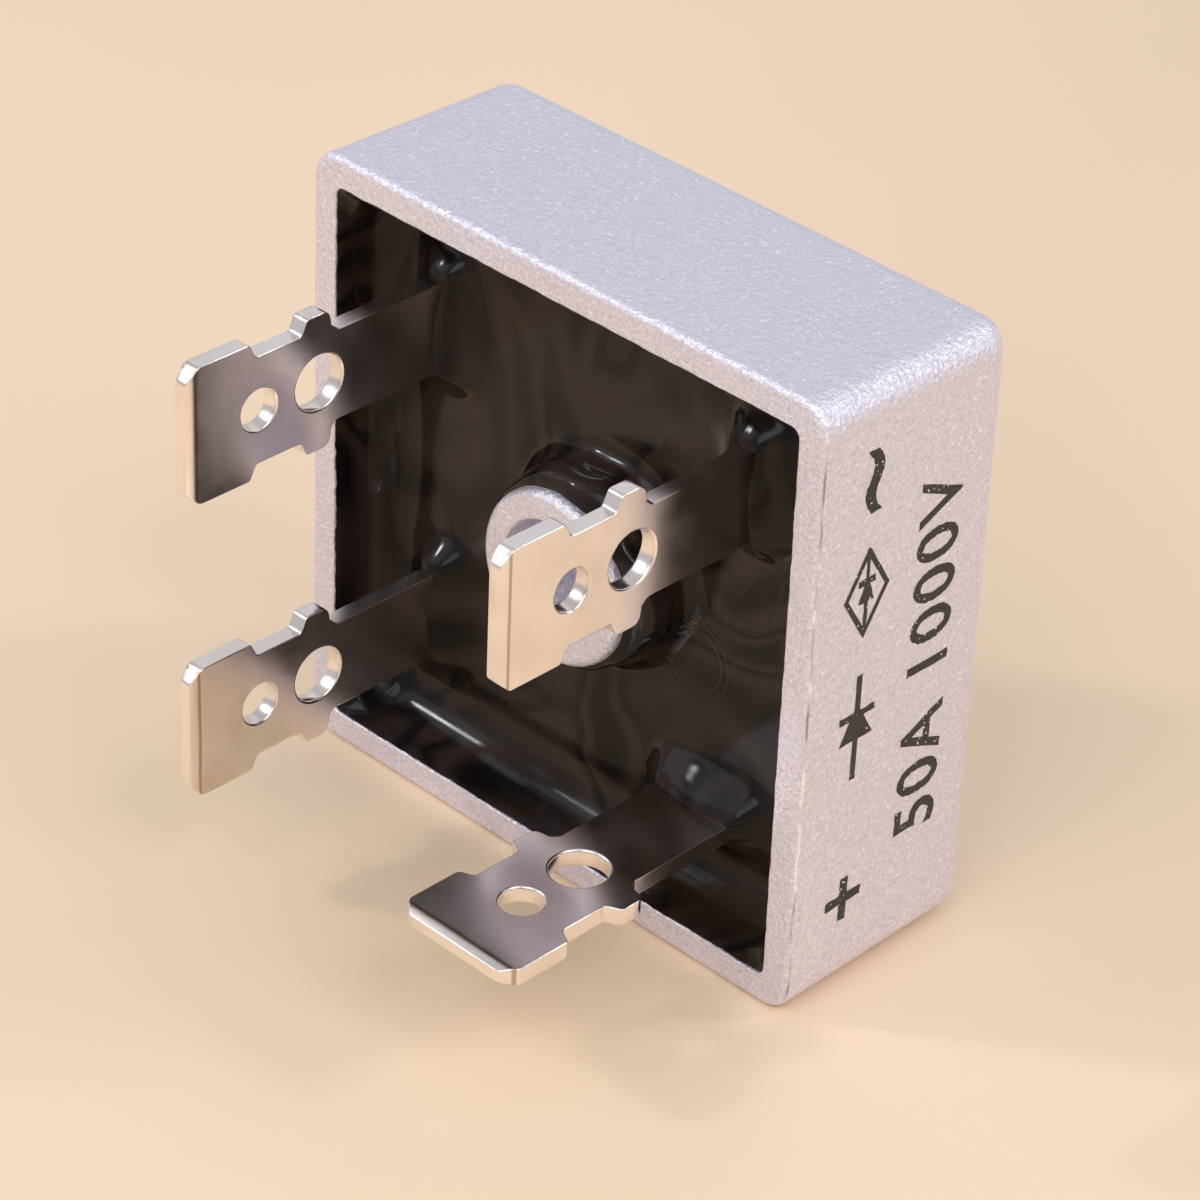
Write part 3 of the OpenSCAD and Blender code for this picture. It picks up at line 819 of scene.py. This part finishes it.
class RECTIFIER_OT_resin(bpy.types.Operator):
    """Pours the resin: a surface that climbs the walls, the boss and the terminals"""

    bl_idname = "rectifier.resin"
    bl_label = "Potting resin"

    RAYS = 512

    def execute(self, context):
        self.case = context.scene.rectifier_case
        self.resin = context.scene.rectifier_resin
        self.surface = self.case.depth - self.resin.drop
        self.stems = {node: stem_rectangle(context.scene.rectifier_terminal, node) for node in TERMINALS}
        rays = [self.pour_ray(2 * math.pi * i / self.RAYS) for i in range(self.RAYS)]
        pour = stack_rings("potting_pour", list(zip(*rays)), bpy.ops.mesh.bridge_edge_loops)
        for node, stem in self.stems.items():
            rays = self.collar_rays(stem, len(node) + stem[0] * 900)
            collar = stack_rings(node + "_collar", list(zip(*rays)), bpy.ops.mesh.edge_face_add)
            activate(pour)
            collar.select_set(True)
            bpy.ops.object.join()
        activate(pour)
        bpy.ops.object.shade_smooth_by_angle(angle=math.radians(60))
        finish_piece(pour, black_resin(self.resin.colour), ["potting_resin"])
        return {"FINISHED"}

    def level(self, x, z):
        """Depth of the free surface: gentle swells, and the broad foot of each climb at a terminal."""
        swell = waver(x, z, 170, 3.1) * 0.05 + waver(x, z, 430, 7.7) * 0.006
        mound = 0.0
        for sx, sz, hx, hz in self.stems.values():
            gap = math.hypot(max(abs(x - sx) - hx, 0), max(abs(z - sz) - hz, 0)) / MM
            mound += 0.22 * math.exp(-((gap / 1.7) ** 2))
        return self.surface + (swell + mound) * MM

    def wall_climb(self, x, z):
        """Extra depth near a wall, where the surface bends up into the wall's film."""
        reach = self.case.width / 2 - self.case.wall - self.resin.film
        gap = max(0.0, reach - max(abs(x), abs(z)))
        radius = self.resin.wall_meniscus
        return 0.0 if gap >= radius else radius - math.sqrt(radius * radius - (radius - gap) ** 2)

    def roll(self, angle, share):
        """Thickness of the roll of resin that stands against the boss, fullest at its upper right."""
        lean = (0.5 + 0.5 * math.cos(angle - math.radians(30))) ** 1.3
        lumps = 1 + 0.45 * waver(math.cos(angle), math.sin(angle), 2.6, 6.2 + share)
        return self.resin.boss_roll * lean * lumps * math.sqrt(max(0.0, 1 - (1.25 * share - 1) ** 2))

    def edge_wander(self, angle, seed):
        return waver(math.cos(angle), math.sin(angle), 3.2, seed) - 0.3

    def crest_wander(self, angle):
        """Ragged line of the film's upper edge, as drops run along it."""
        fine = waver(math.cos(angle), math.sin(angle), 34, 9.0) - 0.45
        return (0.06 * fine + 0.08 * self.edge_wander(angle, 9)) * MM

    def wall_reach(self, angle, gap, corner):
        half = self.case.width / 2 - self.case.wall - gap - CLEARANCE
        return rounded_square_reach(half, corner, angle)

    def floor_point(self, reach, angle, rise):
        return reach, self.level(reach * math.cos(angle), reach * math.sin(angle)) + rise

    def pour_ray(self, angle):
        """One line round the resin's skin, from its bottom at the boss to its bottom at the wall."""
        places = self.boss_side(angle) + self.free_surface(angle) + self.wall_side(angle)
        return [(reach * math.cos(angle), -depth, reach * math.sin(angle)) for reach, depth in places]

    def boss_side(self, angle):
        """Up inside the boss, then down the film and the roll that cover it."""
        case, resin, surface = self.case, self.resin, self.surface
        top = case.depth - BOSS_FILM_DROP
        wander = self.edge_wander(angle, 5)
        depths = (case.base + CLEARANCE, surface)
        places = [(boss_radius_at(case, depth) - BOSS_OVERLAP, depth) for depth in depths]
        places.append((boss_radius_at(case, top) - BOSS_OVERLAP / 2, top + wander * 0.1 * MM))
        steps = 14
        for i in range(steps + 1):
            share = i / steps
            depth = top - LIP - (top - surface) * BOSS_FILM_SHARE * share
            reach = boss_radius_at(case, depth) + resin.film + self.roll(angle, share)
            places.append((reach, depth + wander * 0.08 * MM))
        steps = 9
        for i in range(1, steps + 1):
            a = math.pi / 2 * i / steps
            gap = resin.film + resin.boss_meniscus * (1 - math.cos(a))
            rise = (top - surface) * (1 - BOSS_FILM_SHARE) * (1 - math.sin(a))
            reach = boss_radius_at(case, surface) + gap + self.roll(angle, 1.0)
            places.append(self.floor_point(reach, angle, rise))
        return places

    def free_surface(self, angle):
        """Across the surface between the climb at the boss and the climb at the wall."""
        resin, steps = self.resin, 62
        inner = boss_radius_at(self.case, self.surface) + resin.film + resin.boss_meniscus
        start = inner + self.roll(angle, 1.0)
        outer = self.wall_reach(angle, resin.film + resin.wall_meniscus, FLOOR_CORNER)
        run = outer - start
        return [self.floor_point(start + run * (i / steps), angle, 0.0) for i in range(1, steps)]

    def wall_side(self, angle):
        """Up the wall's meniscus and film to a ragged crest, then down behind them."""
        resin = self.resin
        places = []
        steps = 14
        for i in range(steps + 1):
            a = math.pi / 2 * i / steps
            gap = resin.film + resin.wall_meniscus * (1 - math.sin(a))
            corner = FLOOR_CORNER + (resin.wall_meniscus - FLOOR_CORNER) * math.sin(a)
            rise = resin.wall_meniscus * (1 - math.cos(a))
            places.append(self.floor_point(self.wall_reach(angle, gap, corner), angle, rise))
        climbed = self.surface + resin.wall_meniscus
        crest = self.case.depth - LIP
        wander = self.crest_wander(angle)
        steps = 5
        for i in range(1, steps + 1):
            share = i / steps
            gap = resin.film * (1 - 0.75 * share**3)
            corner = resin.wall_meniscus + (CREST_CORNER - resin.wall_meniscus) * share
            depth = climbed + (crest - climbed) * share
            places.append((self.wall_reach(angle, gap, corner), depth + share * wander))
        behind = self.wall_reach(angle, -WALL_OVERLAP, CAVITY_CORNER)
        depths = (crest + wander, self.surface, self.case.base + CLEARANCE)
        return places + [(behind, depth) for depth in depths]

    def collar_rays(self, stem, seed):
        """The lines up one collar, from points round the stem: its corners turn, its sides belly out."""
        sx, sz, hx, hz = stem
        corner_points, side_points = 6, 10
        corners = [Vector((x * hx, z * hz)) for x, z in ((1, 1), (-1, 1), (-1, -1), (1, -1))]
        rays = []
        for k, corner in enumerate(corners):
            for i in range(corner_points):
                a = math.pi / 2 * k + math.pi / 2 * i / (corner_points - 1)
                way = Vector((math.cos(a), math.sin(a)))
                rays.append(self.collar_ray(sx, sz, corner, way, 0.0, seed))
            target = corners[(k + 1) % 4]
            breadth = (target - corner).length / (2 * max(hx, hz))
            for i in range(side_points):
                along = (i + 1) / (side_points + 1)
                belly = breadth * math.sin(math.pi * along)
                rays.append(self.collar_ray(sx, sz, corner.lerp(target, along), way, belly, seed))
        return rays

    def collar_ray(self, sx, sz, base, way, belly, seed):
        """One line up a collar: inwards from under the surface, up its hollow and over a lip."""
        resin = self.resin
        wobble = noise.noise(Vector((base.x * 200 + way.x * 0.25, base.y * 200 + way.y * 0.25, seed)))
        height = resin.collar_height * (0.82 + 0.25 * belly + 0.3 * wobble)
        bead = abs(way.y) ** 1.5 * (0.85 if way.y > 0 else 0.6)
        steps = 14
        spread, skin = resin.collar_spread, 0.03 * MM
        # Each row: the gap to the stem, then how much further out and how much deeper the point lies.
        rows = [(spread * 1.02, 0.0, -0.3 * MM)]
        rows += [(spread * (1 - i / steps), skin, 0.0) for i in range(steps + 1)]
        rows += [(-LIP, 0.0, skin)]
        places = []
        for gap, out, lift in rows:
            spot = base + way * (gap + out) * (1 + 0.25 * wobble + 0.15 * belly)
            x, z = sx + spot.x, sz + spot.y
            share = max(0.0, 1 - gap / spread)
            hollow = share**1.9
            dome = 0.5 - 0.5 * math.cos(math.pi * share)
            climb = height * (hollow + bead * (dome - hollow))
            places.append((x, -(self.level(x, z) + self.wall_climb(x, z) + climb + lift), z))
        return places


# ---- printed marks ----


class RECTIFIER_OT_marks(bpy.types.Operator):
    """Prints the polarity signs, a plain rating and a rectifier symbol on the side wall"""

    bl_idname = "rectifier.marks"
    bl_label = "Printed marks"

    def execute(self, context):
        self.case = context.scene.rectifier_case
        marks = context.scene.rectifier_marks
        ink = printed_ink(marks.ink, self.case.colour)
        high = marks.height
        # Each mark with its depth, in a line of signs or a line of rating, and its height on the wall.
        signs, rating = 7.95 * MM, 3.8 * MM
        prints = [
            (self.set_text("plus_sign", "+", 0.84 * high, 0.84 * high), signs, -9.75 * MM),
            (self.draw_diode("diode_symbol", 5.0 * MM, 0.84 * high), signs, -1.35 * MM),
            (self.draw_bridge("bridge_symbol", 0.98 * high), signs, 5.0 * MM),
            (self.set_text("ac_sign", "~", 1.15 * high, 0.42 * high), signs, 10.1 * MM),
            (self.set_text("rating_print", marks.rating, 6.8 * high, high), rating, 0.2 * MM),
        ]
        for piece, depth, along in prints:
            self.finish_mark(piece, depth, along, ink)
        return {"FINISHED"}

    def set_text(self, name, text, length, height):
        """Sets a text as a thin solid that fills a length and a height round the origin."""
        clear_selection()
        bpy.ops.object.text_add()
        piece = bpy.context.object
        piece.data.body = text
        piece.data.size = height * 1.4
        piece.data.space_character = 1.12
        piece.data.offset = 0.018 * height
        piece.data.resolution_u = 5
        piece.data.extrude = INK / 2
        bpy.ops.object.convert(target="MESH")
        piece = name_piece(name)
        low = Vector([min(v.co[i] for v in piece.data.vertices) for i in range(3)])
        high = Vector([max(v.co[i] for v in piece.data.vertices) for i in range(3)])
        middle = (low + high) / 2
        fit = Matrix.Diagonal((length / (high.x - low.x), height / (high.y - low.y), 1, 1))
        piece.data.transform(fit @ Matrix.Translation((-middle.x, -middle.y, 0)))
        return piece

    def draw_bars(self, name, bars, stroke):
        """Adds flat bars, each from its middle, turn and length."""
        parts = []
        for middle, turn, length in bars:
            clear_selection()
            bpy.ops.mesh.primitive_cube_add(
                size=1, location=(*middle, 0), rotation=(0, 0, turn), scale=(length, stroke, INK)
            )
            parts.append(name_piece(name + "_bar"))
            settle(parts[-1])
        return parts

    def draw_triangle(self, name, radius):
        clear_selection()
        turn = (0, 0, math.radians(-90))
        bpy.ops.mesh.primitive_cylinder_add(vertices=3, radius=radius, depth=INK, rotation=turn)
        piece = name_piece(name + "_triangle")
        settle(piece)
        return piece

    def join(self, name, parts):
        for part in parts[1:]:
            combine(parts[0], part, "UNION")
        activate(parts[0])
        return name_piece(name)

    def draw_diode(self, name, length, height):
        """A diode symbol: a line, a solid triangle and a bar."""
        stroke = 0.15 * height
        bars = [((0, 0), 0, length), ((0.3 * height, 0), math.pi / 2, height)]
        parts = [self.draw_triangle(name, 0.55 * height), *self.draw_bars(name, bars, stroke)]
        return self.join(name, parts)

    def draw_bridge(self, name, height):
        """A diamond of four arms round a small diode."""
        reach, stroke = height / 2 * 1.35, 0.11 * height
        arm = reach * math.sqrt(2)
        bars = [((0, 0), 0, 2 * reach), ((0.19 * height, 0), math.pi / 2, 0.56 * height)]
        for k in range(4):
            a = math.radians(45 + 90 * k)
            bars.append(((math.cos(a) * arm / 2, math.sin(a) * arm / 2), a + math.pi / 2, arm + stroke))
        parts = [self.draw_triangle(name, 0.3 * height), *self.draw_bars(name, bars, stroke)]
        piece = self.join(name, parts)
        piece.data.transform(Matrix.Diagonal((1.15, 0.72, 1, 1)))
        return piece

    def roughen(self, piece):
        """Subdivides a mark and shifts its points a little, as ink on a sandy surface spreads."""
        open_mesh(piece, "SELECT")
        bpy.ops.mesh.quads_convert_to_tris()
        bpy.ops.mesh.subdivide(number_cuts=2)
        mesh = bmesh.from_edit_mesh(piece.data)
        spread = 0.05 * MM
        for v in mesh.verts:
            v.co.x += waver(v.co.x, v.co.y, 6500, 1.3) * spread
            v.co.y += waver(v.co.x, v.co.y, 6500, 8.9) * spread
        bmesh.update_edit_mesh(piece.data)
        close_mesh()

    def finish_mark(self, piece, depth, along, ink):
        """Lays a flat mark on the side wall: it reads upwards, with its head towards the rim."""
        self.roughen(piece)
        lean = math.atan(self.case.flare / self.case.depth)
        x = outer_half(self.case, depth)
        up = Vector((math.sin(lean), -math.cos(lean), 0))
        out = Vector((math.cos(lean), math.sin(lean), 0))
        turn = Matrix((Vector((0, 0, 1)), up, out)).transposed().to_4x4()
        piece.matrix_world = Matrix.Translation((x, -depth, along)) @ turn
        settle(piece)
        finish_piece(piece, ink)


# ---- circuit inside the resin ----


class RECTIFIER_OT_circuit(bpy.types.Operator):
    """Gives the sealed plates, dies, straps and solder their finishes"""

    bl_idname = "rectifier.circuit"
    bl_label = "Sealed circuit"

    def execute(self, context):
        finishes = {
            "wafer_ceramic": white_alumina(),
            "copper": rolled_copper(),
            "silicon": passivated_silicon(),
            "solder": reflowed_solder(),
        }
        for part in frame["record"]["subparts"]:
            if part["material_slot"] in finishes:
                piece = frame["nodes"][part["node"]]
                piece.data.materials.clear()
                piece.data.materials.append(finishes[part["material_slot"]])
        return {"FINISHED"}


# ---- stage ----


class RECTIFIER_OT_stage(bpy.types.Operator):
    """Lays a plain pale floor and sets soft studio light and the camera"""

    bl_idname = "rectifier.stage"
    bl_label = "Stage"

    def execute(self, context):
        stage = context.scene.rectifier_stage
        self.lay_floor(stage.floor_colour)
        self.hang_lamps(context, stage.light)
        self.place_camera(context)
        context.scene.view_settings.view_transform = "Standard"
        return {"FINISHED"}

    def lay_floor(self, colour):
        clear_selection()
        bpy.ops.mesh.primitive_plane_add(size=1.6, location=(0, 0, CAD_LOW[2]))
        floor = name_piece("floor")
        settle(floor)
        finish = Finish("plain_floor")
        finish.set(Roughness=0.6)
        finish.colour(finish.clouds(scaled(colour, 0.97), scaled(colour, 1.03), 14))
        floor.data.materials.append(finish.material)
        floor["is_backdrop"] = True

    def hang_lamps(self, context, level):
        """Hangs round lamps that face the case, each from its place, size, power and colour."""
        aim = Vector((0, -0.006, 0))
        lamps = [
            ("front_lamp", (-0.262, -0.205, 0.245), 0.042, 0.27, (0.95, 0.97, 1.0)),
            ("front_softbox", (-0.27, -0.26, 0.30), 0.30, 0.20, (0.93, 0.96, 1.0)),
            ("rear_lamp", (0.218, 0.243, 0.231), 0.09, 0.25, (0.98, 0.98, 0.98)),
            ("back_softbox", (-0.25, 0.26, 0.24), 0.30, 0.04, (0.94, 0.96, 1.0)),
            ("right_softbox", (0.31, -0.04, 0.325), 0.30, 0.52, (0.94, 0.97, 1.0)),
            ("left_softbox", (0.07, -0.31, 0.325), 0.30, 0.56, (0.94, 0.97, 1.0)),
        ]
        for name, place, size, power, colour in lamps:
            bpy.ops.object.light_add(type="AREA", location=place)
            lamp = bpy.context.object
            lamp.name = name
            lamp.data.shape = "DISK"
            lamp.data.size = size
            lamp.data.energy = power * level
            lamp.data.color = colour
            lamp.rotation_euler = (aim - Vector(place)).to_track_quat("-Z", "Y").to_euler()
            lamp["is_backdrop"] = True

        world = bpy.data.worlds.new("studio")
        context.scene.world = world
        world.use_nodes = True
        background = world.node_tree.nodes["Background"]
        background.inputs["Color"].default_value = (0.905, 0.93, 0.985, 1)
        background.inputs["Strength"].default_value = 0.55

    def place_camera(self, context):
        azimuth, elevation, roll = (math.radians(v) for v in (43.63, 33.05, 2.46))
        target = Vector((-2.29, -5.5, -4.45)) * MM
        distance = 197.78 * MM
        level = math.cos(elevation)
        back = Vector((math.sin(azimuth) * level, -math.cos(azimuth) * level, math.sin(elevation)))
        right = (-back).cross(Vector((0, 0, 1))).normalized()
        up = right.cross(-back)
        side = right * math.cos(roll) + up * math.sin(roll)
        top = up * math.cos(roll) - right * math.sin(roll)
        camera_data = bpy.data.cameras.new("camera")
        camera = bpy.data.objects.new("camera", camera_data)
        context.scene.collection.objects.link(camera)
        turn = Matrix((side, top, back)).transposed().to_4x4()
        camera.matrix_world = Matrix.Translation(target + back * distance) @ turn
        camera_data.sensor_width = 36
        camera_data.lens = 140.79
        camera_data.clip_start, camera_data.clip_end = 0.01, 10
        context.scene.camera = camera


# ---- panel and start ----


class RECTIFIER_PT_panel(bpy.types.Panel):
    bl_label = "Bridge Rectifier"
    bl_idname = "RECTIFIER_PT_panel"
    bl_space_type = "VIEW_3D"
    bl_region_type = "UI"
    bl_category = "Rectifier"

    def draw(self, context):
        for operator, key in STEPS.items():
            box = self.layout.box()
            if key:
                group = getattr(context.scene, key)
                for name in group.__annotations__:
                    box.prop(group, name)
            box.operator(operator.bl_idname)


# Each step's operator, with the name that its sizes and colours have in the scene.
STEPS = {
    RECTIFIER_OT_case: "rectifier_case",
    RECTIFIER_OT_terminals: "rectifier_terminal",
    RECTIFIER_OT_resin: "rectifier_resin",
    RECTIFIER_OT_marks: "rectifier_marks",
    RECTIFIER_OT_circuit: "",
    RECTIFIER_OT_stage: "rectifier_stage",
}
GROUPS = {
    "rectifier_case": CaseProperties,
    "rectifier_terminal": TerminalProperties,
    "rectifier_resin": ResinProperties,
    "rectifier_marks": MarkProperties,
    "rectifier_stage": StageProperties,
}
CLASSES = (*GROUPS.values(), *STEPS, RECTIFIER_PT_panel)


def register():
    for cls in CLASSES:
        bpy.utils.register_class(cls)
    for key, group in GROUPS.items():
        setattr(bpy.types.Scene, key, bpy.props.PointerProperty(type=group))


def unregister():
    for key in GROUPS:
        delattr(bpy.types.Scene, key)
    for cls in reversed(CLASSES):
        bpy.utils.unregister_class(cls)


def main():
    register()
    bpy.ops.rectifier.case()
    bpy.ops.rectifier.terminals()
    bpy.ops.rectifier.resin()
    bpy.ops.rectifier.marks()
    bpy.ops.rectifier.circuit()
    bpy.ops.rectifier.stage()
    low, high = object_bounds()
    sizes = {"cad": [list(CAD_LOW), list(CAD_HIGH)], "visual": [list(low), list(high)]}


if __name__ == "__main__":
    main()
